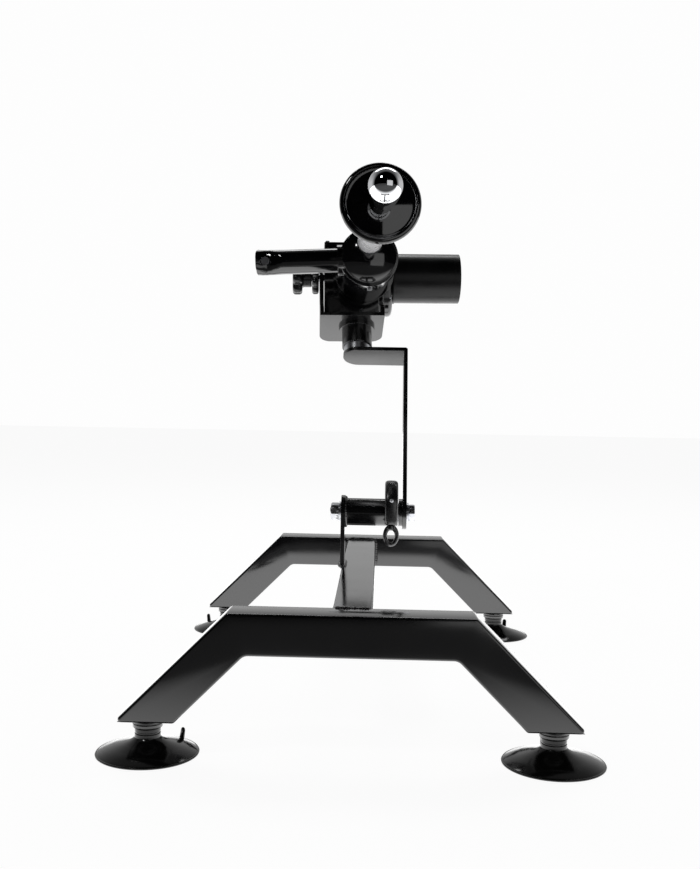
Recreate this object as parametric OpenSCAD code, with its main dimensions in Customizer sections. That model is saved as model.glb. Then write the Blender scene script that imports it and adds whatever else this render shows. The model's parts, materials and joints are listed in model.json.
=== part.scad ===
// Low stand on four suction feet.  A leaning angle bracket carries a swivelling
// cradle, and in the cradle a motor and reduction gear push a rod out of a tube.
// Millimetres.  +Z up, the front faces -Y, the origin is on the floor midway
// between the four feet.

/* [Base frame] */
// Height and depth of the square tube
tube_side = 40; // [30:1:60]
// Wall of the square tube
tube_wall = 2.5; // [2:0.5:4]
// Length of a cross beam's level top
beam_top_len = 232; // [150:2:320]
// Height of a cross beam's top above the floor
beam_top_z = 139; // [110:1:180]
// Height of the cut leg ends above the floor
leg_end_z = 34; // [28:1:45]
// Distance between the two cross beams, centre to centre
beam_pitch = 538; // [400:2:700]
// Height of the spine tube's section
spine_h = 36; // [30:1:40]

/* [Feet] */
// Diameter of a suction cup
cup_d = 98; // [70:1:120]
// Distance of a cup's centre inboard of the leg's outer tip
cup_inset = 29; // [24:1:34]

/* [Lower pivot] */
// Distance of the pivot behind the middle of the base
pivot_y = 28; // [-40:1:60]
// Height of the pivot axis
pivot_z = 201; // [190:1:240]
// Diameter of the pivot boss
boss_d = 33; // [28:1:40]
// Length of the pivot boss
boss_len = 63.5; // [50:0.5:80]
// Diameter of the pivot bolt
bolt_d = 12; // [8:1:16]

/* [Bracket] */
// Backward lean of the bracket as drawn
lean = 27; // [0:1:40]
// Width of the flat bar
bar_w = 40; // [30:1:50]
// Thickness of the flat bar
bar_t = 5; // [3:0.5:8]
// Distance from the pivot to the underside of the top plate
arm_len = 214; // [150:1:260]

/* [Swivel and cradle] */
// Swivel angle as drawn
swivel_angle = 3.3; // [-10:0.1:10]
// Sideways position of the swivel axis
swivel_x = -8.3; // [-12:0.1:10]
// Sideways tilt of the swivel post on its plate as drawn
post_tilt = 2.6; // [0:0.1:4]
// Sideways distance from the swivel axis to the middle of the head
head_shift = 5.3; // [0:0.1:10]
// Height of the cradle's underside along the bracket
cradle_w = 257.5; // [240:0.5:280]
// Depth of the cradle's base, front to back
cradle_depth = 68; // [50:1:80]
// Height of the head axis along the bracket
axis_w = 336; // [320:1:350]

/* [Drive] */
// Pitch of the drive in the cradle as drawn
drive_pitch = 22.4; // [10:0.1:35]
// Diameter of the guide tube
guide_d = 66; // [60:1:80]
// Distance from the head axis to the front of the tube cap
cap_front = 157; // [140:1:180]
// Diameter of the rod
rod_d = 30; // [24:1:34]
// Height of the rod's axis above the head axis
rod_lift = 15.5; // [15.5:0.5:18]
// Distance from the tube cap to the round disc as drawn
reach = 169; // [140:1:200]
// Diameter of the round disc
disc_d = 86; // [60:1:100]
// Diameter of the motor
motor_d = 66; // [50:1:80]
// Length of the motor
motor_len = 87; // [60:1:110]

/* [Hidden] */
$fn = 96;
run_gap = 0.05;
soft_gap = 0.1;
slip_gap = 0.5;

// base frame
half_top = beam_top_len / 2;
leg_tip = half_top + beam_top_z - leg_end_z;
miter = tube_side * tan(22.5);
beam_y = beam_pitch / 2;
spine_top = beam_top_z - 2;
spine_half = beam_y - tube_side / 2;

// feet
cup_x = leg_tip - cup_inset;
cup_neck_d = 24.6;
cup_neck_z = 25.5;
cup_collar_d = 28.6;
stud_d = 8;
stud_top = leg_end_z + 12;
stud_low = 15;
stud_head_d = 16;
stud_head_h = 2;
leg_plate_t = 3;
tab_w = 6;
cup_side = [[-1, -1], [-1, 1], [1, -1], [1, 1]];
tab_angle = [47, 143, 95, 60];

// lower pivot
lug_t = 5;
lug_w = 40;
lug_x = -22;
boss_x0 = lug_x + lug_t;
boss_x1 = boss_x0 + boss_len;
washer_t = 2.5;
washer_d = 24;
thrust_t = 1;
stub_len = 4.5;
bar_x0 = boss_x1 + thrust_t + stub_len;
bar_x1 = bar_x0 + bar_t;
bolt_flats = 19;
bolt_head_h = 7.5;
nut_h = 10;
hex_ratio = cos(30);

// snap hook, drawn in the plane across the boss: x runs back, y runs up from the boss axis
hook_x = 38.5;
hook_w = 16;
hook_out = 31;
hook_rise = 8;
hook_in = 20;
hook_rest = boss_d / 2 + 0.1 - hook_in;
shank_low = -11;
knuckle = [-20.5, -8];
knuckle_r = 4.5;
gate_in = boss_d / 2 + 1.6;
gate_t = 4;
gate_w = 5.6;
nose_low = -8;
eye_y = -27;
eye_stem_d = 4.4;
eye_ring_z = -25;
eye_head_d = 6;
eye_head_z = shank_low + 5;
snap_pin_d = 3;

// bracket and swivel
plate_x0 = -26.5;
bend_r = 3;
plate_top = arm_len + bar_t;
collar_d = 35;
collar_top = plate_top + 10;
post_d = 22;
post_top = 252;
hub_d = 39;
hub_low = collar_top + 0.3;
hub_top = 252.5;
groove_z = plate_top + 21;
set_screw_d = 5;
ring_d = 47;
ring_screw_r = 17;
foot_extra = 2;

// cradle, measured from the swivel axis
cradle_x0 = -54;
cradle_x1 = 29.5;
sheet_t = 5;
ear_in_l = cradle_x0 + sheet_t;
ear_in_r = cradle_x1 - sheet_t;
ear_r = 22;
base_top = cradle_w + sheet_t;
drop = base_top - axis_w;
neck_d = 30;
bush_wall = 2.5;
clamp_d = 10;
knob_x0 = cradle_x0 - 23;
knob_x1 = cradle_x0 - 36;
knob_d = 46;
knob_hub_d = 25;
wheel_x0 = cradle_x0 - 1;
wheel_x1 = cradle_x0 - 10;
wheel_d = 44;

// drive, measured from the head axis
tube_x = 4.5;
guide_wall = 2.2;
body_x0 = ear_in_l + 1;
body_x1 = ear_in_r - 1;
body_y = 36;
body_z0 = -54;
body_wall = 5;
body_z1 = 38;
ring_y = 37;
ring_t = 5;
flange_d = 77;
cap_len = 12;
tube_front = cap_front - cap_len;
bush_d = 32.4;
bore_d = 31.2;
seal_back = 8;
seal_front = 4.5;
case_x0 = cradle_x1 + 1;
case_x1 = case_x0 + 12;
case_wall = 2;
plate_t = 4;
motor_x0 = case_x1 + plate_t;
motor_x1 = motor_x0 + motor_len;
rotor_d = 42;
rotor_x0 = motor_x0 + 14;
rotor_x1 = motor_x1 - 18;
case_r = 21;
case_round = 5;
case_screw_spots = [[24, 6], [-24, 6], [24, -30], [-24, -30]];
can_wall = 2;
end_len = 8;
motor_bearing_d = 16;
nose_d = 12;
socket_x = motor_x1 - 26;
socket_d = 14;
bearing_d = 16;
bearing_w = 7;

// gears
gear_m = 1;
press_angle = 20;
flank_thin = 0.07;
pinion_n = 19;
pinion_r = gear_m * pinion_n / 2;
small_n = 16;
big_n = 32;
gear_gap = gear_m * (small_n + big_n) / 2;
shaft_d = 10;
motor_shaft_d = 6;
idler_d = 5;
gear_w = 3.4;
stage_out_x = case_x0 + case_wall + 0.3;
stage_in_x = stage_out_x + gear_w + 0.6;
pinion_w = 16;
bearing_l_x = tube_x - pinion_w / 2 - 2 - bearing_w;
bearing_r_x = case_x0 - bearing_w - 2;
flank_steps = 6;

// rod
rack_pitch = PI * gear_m;
rack_line = pinion_r;
rack_tip = rack_line - gear_m;
rack_root = rack_line + 1.25 * gear_m;
rack_front = 135;
rod_back = 50;
rod_front = cap_front + reach;
disc_t = 10;
tip_len = 81;
tip_d = 35;
tip_neck_d = 25;
tip_neck_len = 30;

// handle
grip_y = 122;
grip_ring_w = 28;
grip_ring_d = 72;
grip_d = 30;
grip_boss_d = 38;
grip_start = 38.5;
grip_end = 139;
grip_droop = 2.3;
grip_bolt_d = 6;
grip_bolt_s = grip_end - 12;
grip_head_d = 10;
grip_head_low = 10.8;
grip_head_h = 2.5;
collar_screw_d = 6;

// ---------- frames ----------

module on_bracket() {
  translate([0, pivot_y, pivot_z])
    rotate([-lean, 0, 0])
      children();
}

module on_post() {
  on_bracket()
    translate([swivel_x, 0, plate_top])
      rotate([0, -post_tilt, 0])
        rotate([0, 0, swivel_angle])
          translate([0, 0, -plate_top])
            children();
}

module on_cradle() {
  on_post()
    translate([head_shift, 0, 0])
      children();
}

module on_drive() {
  on_cradle()
    translate([0, 0, axis_w])
      rotate([drive_pitch, 0, 0])
        children();
}

// the tube's own frame: +Z runs out of the front of the tube
module on_tube() {
  on_drive()
    translate([tube_x, 0, 0])
      rotate([90, 0, 0])
        children();
}

module on_rod() {
  on_drive()
    translate([tube_x, 0, rod_lift])
      rotate([90, 0, 0])
        children();
}

// ---------- helpers ----------

module bar_x(d, x0, x1) {
  translate([x0, 0, 0])
    rotate([0, 90, 0])
      cylinder(d = d, h = x1 - x0);
}

module hex_x(flats, x0, x1) {
  translate([x0, 0, 0])
    rotate([0, 90, 0])
      cylinder(d = flats / hex_ratio, h = x1 - x0, $fn = 6);
}

module rod_z(d, z0, z1) {
  translate([0, 0, z0])
    cylinder(d = d, h = z1 - z0);
}

module tube_z(d, inner, z0, z1) {
  difference() {
    rod_z(d, z0, z1);
    rod_z(inner, z0 - 1, z1 + 1);
  }
}

module tube_x_dir(d, inner, x0, x1) {
  difference() {
    bar_x(d, x0, x1);
    bar_x(inner, x0 - 1, x1 + 1);
  }
}

module screw_z(d, head_d, head_h, length) {
  difference() {
    union() {
      rod_z(d, -length, 0);
      rod_z(head_d, 0, head_h);
    }
    translate([0, 0, head_h / 2])
      cylinder(d = d * 0.8, h = head_h, $fn = 6);
  }
}

module at_feet() {
  for (sx = [-1, 1])
    for (sy = [-1, 1])
      translate([sx * cup_x, sy * beam_y, 0])
        children();
}

// ---------- involute teeth ----------

function involute(rb, t) = [rb * (cos(t) + t * PI / 180 * sin(t)), rb * (sin(t) - t * PI / 180 * cos(t))];

function involute_angle(rb, r) = acos(rb / r);

function spin(p, a) = [p[0] * cos(a) - p[1] * sin(a), p[0] * sin(a) + p[1] * cos(a)];

// half the angle a tooth covers at radius r, thinned for backlash
function half_tooth(n, r) =
  let (
    rp = gear_m * n / 2,
    rb = rp * cos(press_angle),
    ap = press_angle,
    ar = involute_angle(rb, r),
    inv_p = tan(ap) * 180 / PI - ap,
    inv_r = tan(ar) * 180 / PI - ar
  )
  90 / n - flank_thin / rp * 180 / PI + inv_p - inv_r;

function tooth_points(n) =
  let (
    rp = gear_m * n / 2,
    rb = rp * cos(press_angle),
    r_low = max(rb, rp - 0.9 * gear_m),
    r_root = rp - 1.25 * gear_m,
    r_tip = rp + gear_m,
    radii = [for (i = [0:flank_steps]) r_low + (r_tip - r_low) * i / flank_steps]
  )
  concat(
    [spin([r_root, 0], -half_tooth(n, r_low) - 1)],
    [for (r = radii) spin([r, 0], -half_tooth(n, r))],
    [for (i = [flank_steps:-1:0]) spin([radii[i], 0], half_tooth(n, radii[i]))],
    [spin([r_root, 0], half_tooth(n, r_low) + 1)]
  );

module gear_2d(n) {
  polygon([for (k = [0:n - 1]) for (p = tooth_points(n)) spin(p, 360 * k / n)]);
}

// a gear on the X axis; turn is the direction of its first tooth, measured from +Z towards -Y
module gear_x(n, x0, width, bore, turn) {
  translate([x0, 0, 0])
    rotate([0, 90, 0])
      difference() {
        rotate([0, 0, 180 + turn])
          linear_extrude(width)
            gear_2d(n);
        translate([0, 0, -1])
          cylinder(d = bore, h = width + 2);
      }
}

// ---------- base frame ----------

function beam_outline(inset) =
  let (
    a = half_top - inset * tan(22.5),
    b = half_top - miter + inset * tan(22.5),
    top = beam_top_z - inset,
    low = beam_top_z - tube_side + inset,
    end_out = a + top - leg_end_z,
    end_in = b + low - leg_end_z
  )
  [
    [-end_out, leg_end_z], [-a, top], [a, top], [end_out, leg_end_z],
    [end_in, leg_end_z], [b, low], [-b, low], [-end_in, leg_end_z]
  ];

module beam_solid(inset) {
  rotate([90, 0, 0])
    translate([0, 0, inset - tube_side / 2])
      linear_extrude(tube_side - 2 * inset)
        polygon(beam_outline(inset));
}

module cross_beam() {
  difference() {
    beam_solid(0);
    beam_solid(tube_wall);
  }
}

module front_beam() {
  color("#18181a")
    translate([0, -beam_y, 0])
      cross_beam();
}

module rear_beam() {
  color("#18181a")
    translate([0, beam_y, 0])
      cross_beam();
}

module spine() {
  color("#18181a")
    translate([0, 0, spine_top - spine_h / 2])
      difference() {
        cube([tube_side, 2 * spine_half, spine_h], center = true);
        cube([tube_side - 2 * tube_wall, 2 * spine_half + 2, spine_h - 2 * tube_wall], center = true);
      }
}

module leg_plates() {
  color("#202022")
    for (sy = [-1, 1])
      translate([0, sy * beam_y, 0])
        difference() {
          intersection() {
            beam_solid(tube_wall);
            translate([0, 0, leg_end_z + leg_plate_t / 2])
              cube([4 * half_top, 2 * tube_side, leg_plate_t], center = true);
          }
          for (sx = [-1, 1])
            translate([sx * cup_x, 0, 0])
              rod_z(stud_d, leg_end_z - 1, leg_end_z + leg_plate_t + 1);
        }
}

module foot_studs() {
  color("#c8c8cc")
    at_feet() {
      rod_z(stud_d, stud_low, stud_top);
      rod_z(stud_head_d, stud_low - stud_head_h, stud_low);
    }
}

module foot_nuts() {
  color("#c8c8cc")
    at_feet()
      difference() {
        translate([0, 0, leg_end_z + leg_plate_t])
          cylinder(d = 13 / hex_ratio, h = 6.5, $fn = 6);
        rod_z(stud_d, 0, 2 * stud_top);
      }
}

module foot_collars() {
  color("#202022")
    at_feet()
      tube_z(cup_collar_d, stud_d, cup_neck_z + soft_gap, leg_end_z);
}

// cup profile, radius against height: thin lip, shallow cone, neck, domed hollow
module cup_profile() {
  r = cup_d / 2;
  polygon([
    [r - 5, 0], [r, 0], [r, 1.6], [r - 6, 3.6], [r - 16, 7.2], [r - 27, 10.6], [r - 33, 13],
    [cup_neck_d / 2 + 1.4, 15], [cup_neck_d / 2, 16.6], [cup_neck_d / 2, cup_neck_z],
    [0, cup_neck_z], [0, 8], [10, 7.6], [20, 6.2], [30, 4.2], [38, 2.2]
  ]);
}

module stud_room() {
  rod_z(stud_d + 2 * soft_gap, stud_low - soft_gap, cup_neck_z + 1);
  rod_z(stud_head_d + 2 * soft_gap, stud_low - stud_head_h - soft_gap, stud_low + soft_gap);
}

module release_tab(angle) {
  rotate([0, 0, angle])
    translate([cup_d / 2 - 11, -tab_w / 2, 2.6])
      rotate([0, -12, 0])
        cube([3, tab_w, 11]);
}

// each cup was screwed home by hand, so its release tab points its own way
module suction_cups() {
  color("#0c0c0d")
    for (k = [0:3])
      translate([cup_side[k][0] * cup_x, cup_side[k][1] * beam_y, 0])
        difference() {
          union() {
            rotate_extrude()
              cup_profile();
            release_tab(tab_angle[k]);
          }
          stud_room();
        }
}

// ---------- lower pivot ----------

module at_pivot() {
  translate([0, pivot_y, pivot_z])
    children();
}

module pivot_lug() {
  color("#18181a")
    difference() {
      union() {
        at_pivot()
          bar_x(lug_w, lug_x, lug_x + lug_t);
        translate([lug_x, pivot_y - lug_w / 2, spine_top])
          cube([lug_t, lug_w, pivot_z - spine_top]);
      }
      at_pivot()
        bar_x(bolt_d + 0.2, lug_x - 1, lug_x + lug_t + 1);
    }
}

module pivot_boss() {
  color("#18181a")
    at_pivot()
      tube_x_dir(boss_d, bolt_d + 0.2, boss_x0, boss_x1);
}

module pivot_bolt() {
  color("#c9cbd0")
    at_pivot() {
      bar_x(bolt_d, lug_x - washer_t - nut_h - 1, bar_x1 + washer_t);
      hex_x(bolt_flats, bar_x1 + washer_t, bar_x1 + washer_t + bolt_head_h);
    }
}

module pivot_nut() {
  color("#c9cbd0")
    at_pivot()
      difference() {
        hex_x(bolt_flats, lug_x - washer_t - nut_h, lug_x - washer_t);
        bar_x(bolt_d, -100, 100);
      }
}

module pivot_washers() {
  color("#c9cbd0")
    at_pivot() {
      tube_x_dir(washer_d, bolt_d + 0.2, lug_x - washer_t, lug_x);
      tube_x_dir(washer_d, bolt_d + 0.2, boss_x1, boss_x1 + thrust_t - run_gap);
      tube_x_dir(washer_d, bolt_d + 0.2, bar_x1 + run_gap, bar_x1 + washer_t);
    }
}

// ---------- snap hook hung over the pivot boss ----------

module at_hook() {
  translate([hook_x, pivot_y, pivot_z])
    children();
}

// lift a drawing made across the boss and give it a width along the boss
module across_boss(width) {
  rotate([90, 0, 90])
    linear_extrude(width, center = true)
      children();
}

module hook_2d() {
  difference() {
    union() {
      translate([0, hook_rise])
        circle(r = hook_out);
      translate([-hook_out, shank_low])
        square([hook_out, hook_rise - shank_low]);
      translate([hook_in, nose_low])
        square([hook_out - hook_in, hook_rise - nose_low]);
    }
    translate([0, hook_rest])
      circle(r = hook_in);
    translate([-hook_in, -3 * hook_out])
      square([2 * hook_in, 3 * hook_out + hook_rest]);
    translate([-2 * hook_out, -3 * hook_out])
      square([2 * hook_out, 3 * hook_out + shank_low]);
    translate([0, -3 * hook_out])
      square([2 * hook_out, 3 * hook_out + nose_low]);
  }
  translate(knuckle)
    circle(r = knuckle_r);
}

module snap_hook() {
  color("#1a1a1c")
    at_hook()
      difference() {
        across_boss(hook_w)
          hook_2d();
        // fork for the gate
        across_boss(gate_w + 2 * slip_gap)
          translate(knuckle)
            circle(r = knuckle_r + 0.6);
        translate([0, knuckle[0], knuckle[1]])
          bar_x(snap_pin_d, -hook_w, hook_w);
        translate([0, eye_y, 0]) {
          rod_z(eye_stem_d + 0.2, shank_low - 1, eye_head_z + 1);
          rod_z(eye_head_d + 0.4, eye_head_z, eye_head_z + 3.2);
        }
      }
}

module snap_pin() {
  color("#8c8e92")
    at_hook()
      translate([0, knuckle[0], knuckle[1]])
        bar_x(snap_pin_d, -hook_w / 2, hook_w / 2);
}

// curved gate closing the hook under the boss
module gate_2d() {
  difference() {
    circle(r = gate_in + gate_t);
    circle(r = gate_in);
    translate([-3 * hook_out, knuckle[1]])
      square(6 * hook_out);
    translate([knuckle[0] - 10, knuckle[1] - 2])
      square([6, 2]);
  }
  translate(knuckle)
    circle(r = knuckle_r - 1.2);
  translate([gate_in, knuckle[1] - 4])
    square([8, 3.4]);
}

module snap_gate() {
  color("#2a2a2c")
    at_hook()
      difference() {
        across_boss(gate_w)
          gate_2d();
        translate([0, knuckle[0], knuckle[1]])
          bar_x(snap_pin_d + 2 * run_gap, -hook_w, hook_w);
      }
}

module snap_eye() {
  color("#1a1a1c")
    at_hook()
      translate([0, eye_y, 0]) {
        rod_z(eye_stem_d, shank_low - 3, eye_head_z + soft_gap);
        rod_z(eye_head_d, eye_head_z + soft_gap, eye_head_z + 3);
        translate([0, 0, eye_ring_z])
          rotate([90, 0, 0])
            linear_extrude(5, center = true)
              difference() {
                scale([9.8, 13])
                  circle(r = 1);
                scale([4.7, 7])
                  circle(r = 1);
              }
      }
}

// ---------- bracket and swivel ----------

// the bent flat bar seen edge-on, in the plane of the bend
module bracket_edge() {
  difference() {
    union() {
      translate([bar_x0, -bar_w])
        square([bar_t, plate_top + bar_w]);
      translate([plate_x0 - bar_w, arm_len])
        square([bar_x1 - plate_x0 + bar_w, bar_t]);
    }
    // outside of the bend
    translate([bar_x1 - bend_r, plate_top - bend_r])
      difference() {
        square(bend_r + 1);
        circle(r = bend_r);
      }
  }
}

module tilt_bracket() {
  color("#1b1b1d")
    on_bracket()
      difference() {
        union() {
          rotate([90, 0, 0])
            translate([0, 0, -bar_w / 2])
              linear_extrude(bar_w)
                bracket_edge();
          // short stub of boss tube welded to the bar
          bar_x(boss_d, bar_x0 - stub_len, bar_x0 + 1);
        }
        // rounded lower end of the bar
        translate([bar_x0 - 1, 0, 0])
          difference() {
            translate([0, -bar_w, -2 * bar_w])
              cube([bar_t + 2, 2 * bar_w, 2 * bar_w]);
            bar_x(bar_w, -1, bar_t + 4);
          }
        // rounded free end of the plate
        difference() {
          translate([plate_x0 - 2 * bar_w, -bar_w, arm_len - 1])
            cube([2.5 * bar_w, 2 * bar_w, bar_t + 2]);
          translate([plate_x0 + bar_w / 2, 0, 0])
            rod_z(bar_w, arm_len - 2, plate_top + 2);
        }
        bar_x(bolt_d + 0.2, bar_x0 - stub_len - 1, bar_x1 + 1);
      }
}

// everything below the top of the bracket's plate
module below_plate() {
  on_bracket()
    translate([-2 * bar_w, -2 * bar_w, plate_top - 2 * bar_w])
      cube([4 * bar_w, 4 * bar_w, 2 * bar_w]);
}

module swivel_collar() {
  color("#c9cbd0")
    difference() {
      on_post()
        tube_z(collar_d, post_d, plate_top - foot_extra, collar_top);
      below_plate();
    }
}

module swivel_post() {
  color("#b9bbc0")
    difference() {
      on_post()
        difference() {
          rod_z(post_d, plate_top - foot_extra, post_top);
          tube_z(post_d + 2, post_d - 3, groove_z - 3, groove_z + 3);
        }
      below_plate();
    }
}

module swivel_hub() {
  color("#18181a")
    on_post()
      difference() {
        tube_z(hub_d, post_d + 2 * run_gap, hub_low, hub_top);
        translate([0, 0, groove_z])
          rotate([-90, 0, 0])
            cylinder(d = set_screw_d, h = hub_d);
      }
}

module swivel_screw() {
  color("#5a5c60")
    on_post()
      translate([0, 0, groove_z])
        rotate([-90, 0, 0])
          difference() {
            rod_z(set_screw_d, post_d / 2 + 0.2, hub_d / 2 - 1);
            translate([0, 0, hub_d / 2 - 4])
              cylinder(d = 2.9, h = 9, $fn = 6);
          }
}

module at_ring_screws() {
  on_post()
    for (a = [45:90:315])
      rotate([0, 0, a])
        translate([ring_screw_r, 0, 0])
          children();
}

module swivel_ring() {
  color("#18181a")
    difference() {
      on_post()
        rod_z(ring_d, hub_top, cradle_w);
      at_ring_screws()
        rod_z(4, hub_top + 1, cradle_w + 1);
    }
}

module ring_screws() {
  color("#8c8e92")
    at_ring_screws()
      translate([0, 0, base_top])
        screw_z(4, 7, 2.4, 8);
}

// ---------- cradle ----------

// side plate seen along X: [y, z] from the head axis
module ear_2d() {
  hd = cradle_depth / 2;
  circle(r = ear_r);
  polygon([
    [-hd, drop], [-hd, drop + 8], [-12, drop + 25], [-ear_r + 1, -8],
    [ear_r - 1, -8], [12, drop + 25], [hd, drop + 8], [hd, drop]
  ]);
}

module ear(x0) {
  translate([x0, 0, axis_w])
    rotate([90, 0, 90])
      linear_extrude(sheet_t)
        ear_2d();
}

module cradle() {
  color("#161618")
    difference() {
      cradle_box();
      at_ring_screws()
        rod_z(4, cradle_w - 1, base_top + 1);
    }
}

module cradle_box() {
  hd = cradle_depth / 2;
  corner = 15;
  on_cradle()
    difference() {
      union() {
        translate([cradle_x0, -hd, cradle_w])
          cube([cradle_x1 - cradle_x0, cradle_depth, sheet_t]);
        ear(cradle_x0);
        ear(ear_in_r);
      }
      // rounded rear corners
      for (side = [0, 1])
        translate([side == 0 ? cradle_x0 : cradle_x1, hd, 0])
          mirror([side, 0, 0])
            difference() {
              translate([-1, -corner, cradle_w - 1])
                cube([corner + 1, corner + 1, 60]);
              translate([corner, -corner, 0])
                rod_z(2 * corner, cradle_w - 2, cradle_w + 61);
            }
      translate([0, 0, axis_w]) {
        bar_x(clamp_d + 0.2, cradle_x0 - 1, ear_in_l + 1);
        bar_x(neck_d + 2 * bush_wall, ear_in_r - 1, cradle_x1 + 1);
      }
    }
}

module ear_bush() {
  color("#b08d4a")
    on_cradle()
      translate([0, 0, axis_w])
        tube_x_dir(neck_d + 2 * bush_wall, neck_d + 2 * run_gap, ear_in_r, cradle_x1);
}

// ---------- clamp knob ----------

module lobed_x(d, lobes, x_low, x_high, notch_d, notch_r) {
  difference() {
    bar_x(d, x_low, x_high);
    for (k = [0:lobes - 1])
      rotate([360 * (k + 0.5) / lobes, 0, 0])
        translate([0, 0, notch_r])
          bar_x(notch_d, x_low - 1, x_high + 1);
  }
}

module star_knob() {
  color("#121213")
    on_drive()
      difference() {
        union() {
          lobed_x(knob_d, 7, knob_x1, knob_x0, 12, knob_d / 2 + 2.5);
          bar_x(knob_hub_d, knob_x0, wheel_x1 - slip_gap);
        }
        bar_x(clamp_d, knob_x1 + 6, 100);
      }
}

module knob_stud() {
  color("#b9bbc0")
    on_drive()
      bar_x(clamp_d, knob_x1 + 6, body_x0 + 14);
}

module lock_wheel() {
  color("#121213")
    on_drive()
      difference() {
        lobed_x(wheel_d, 9, wheel_x1, wheel_x0, 7, wheel_d / 2 + 1.6);
        bar_x(clamp_d + 0.2, wheel_x1 - 1, wheel_x0 + 1);
      }
}

// ---------- drive body ----------

module chamber() {
  translate([tube_x, 0, rod_lift])
    rotate([90, 0, 0])
      cylinder(d = bore_d, h = 4 * body_y, center = true);
  bar_x(2 * (pinion_r + 2.5), tube_x - pinion_w / 2 - 2, tube_x + pinion_w / 2 + 2);
}

module at_cover_screws() {
  for (sx = [0, 1])
    for (sy = [-1, 1])
      translate([body_x0 + 4 + sx * (body_x1 - body_x0 - 8), sy * (body_y - 4), 0])
        children();
}

module drive_body() {
  pocket_x = body_x1 - body_x0 - 2 * body_wall;
  color("#1c1c1e")
    on_drive()
      difference() {
        union() {
          translate([body_x0, -body_y, body_z0])
            cube([body_x1 - body_x0, 2 * body_y, body_z1 - body_z0]);
          bar_x(neck_d, body_x1 - 1, case_x0);
        }
        chamber();
        bar_x(shaft_d + 1, bearing_l_x - 3, case_x0 + 1);
        bar_x(bearing_d, bearing_l_x, bearing_r_x + bearing_w);
        bar_x(clamp_d + 2 * run_gap, body_x0 - 1, body_x0 + 15);
        // seat of the rear bush
        translate([tube_x, body_y - 12, rod_lift])
          rotate([-90, 0, 0])
            cylinder(d = bush_d, h = 30);
        // hollow underside
        translate([body_x0 + body_wall, -body_y + body_wall, body_z0 - 1])
          cube([pocket_x, 2 * (body_y - body_wall), 36]);
        // well under the top cover
        translate([body_x0 + 6, -body_y + 8, body_z1 - 3])
          cube([10, 2 * body_y - 16, 4]);
        at_cover_screws()
          rod_z(3, body_z1 - 6, body_z1 + 1);
      }
}

module body_cover() {
  color("#1c1c1e")
    on_drive()
      difference() {
        translate([body_x0, -body_y, body_z1])
          cube([body_x1 - body_x0, 2 * body_y, 3]);
        at_cover_screws()
          rod_z(3, body_z1 - 1, body_z1 + 4);
      }
}

module drive_screws() {
  color("#8c8e92")
    on_drive() {
      at_cover_screws()
        translate([0, 0, body_z1 + 3])
          screw_z(3, 5.5, 2, 9);
      at_case_screws()
        translate([case_x1 - 3.5, 0, 0])
          rotate([0, 90, 0])
            screw_z(3, 5.5, 2, 8);
      at_motor_screws()
        translate([motor_x0 + 5, 0, 0])
          rotate([0, 90, 0])
            screw_z(4, 7, 2.4, 8.9);
    }
}

// ---------- guide tube ----------

module rod_room(d, z0, z1) {
  translate([0, rod_lift, 0])
    rod_z(d, z0, z1);
}

module tube_flange() {
  color("#1c1c1e")
    on_tube()
      difference() {
        union() {
          rod_z(flange_d, ring_y, ring_y + ring_t);
          translate([0, 6, 0])
            rod_z(54, body_y, ring_y);
        }
        rod_room(bore_d, body_y - 1, ring_y + ring_t + 1);
      }
}

module guide_tube() {
  color("#151517")
    on_tube()
      difference() {
        tube_z(guide_d, guide_d - 2 * guide_wall, ring_y + ring_t, tube_front);
        rod_room(bush_d, tube_front - 9, tube_front + 1);
      }
}

// domed plug closing the tube, bored off centre for the rod
module tube_cap() {
  r = guide_d / 2;
  dome = 6;
  crown = 3;
  plug_low = tube_front - 8;
  color("#121213")
    on_tube()
      difference() {
        rotate_extrude()
          polygon(concat(
            [[0, plug_low], [r - guide_wall, plug_low], [r - guide_wall, tube_front], [r, tube_front]],
            [for (a = [0:15:75]) [r - dome + dome * cos(a), cap_front - crown - dome + dome * sin(a)]],
            [for (t = [1:-0.2:0]) [(r - dome) * t, cap_front - crown * t * t]]
          ));
        rod_room(bush_d, tube_front - 9, cap_front + 1);
      }
}

module rod_bushes() {
  color("#c2c0b8") {
    on_tube()
      difference() {
        rod_room(bush_d, tube_front - 8, cap_front - seal_back);
        rod_room(rod_d + 2 * run_gap, tube_front - 9, cap_front);
      }
    on_rod()
      tube_z(bush_d, rod_d + 2 * run_gap, -body_y, 12 - body_y);
  }
}

module rod_seal() {
  color("#0c0c0d")
    on_tube()
      difference() {
        rod_room(bush_d - soft_gap, cap_front - seal_back + soft_gap, cap_front - seal_front);
        rod_room(rod_d + 2 * soft_gap, tube_front, cap_front);
      }
}

module set_screw() {
  color("#5a5c60")
    on_grip()
      rotate([90, 0, 0])
        difference() {
          rod_z(collar_screw_d, guide_d / 2 + soft_gap, grip_ring_d / 2 + 2);
          translate([0, 0, grip_ring_d / 2 - 1])
            cylinder(d = 3.4, h = 9, $fn = 6);
        }
}

// ---------- side grip ----------

module on_grip() {
  on_tube()
    translate([0, 0, grip_y])
      rotate([0, 0, grip_droop])
        children();
}

module grip_collar() {
  color("#151517")
    on_grip()
      difference() {
        union() {
          rod_z(grip_ring_d, -grip_ring_w / 2, grip_ring_w / 2);
          rotate([0, -90, 0])
            rod_z(grip_boss_d, 20, grip_start);
        }
        rod_z(guide_d + 2 * run_gap, -50, 50);
        rotate([90, 0, 0])
          rod_z(collar_screw_d, 10, 60);
      }
}

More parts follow.
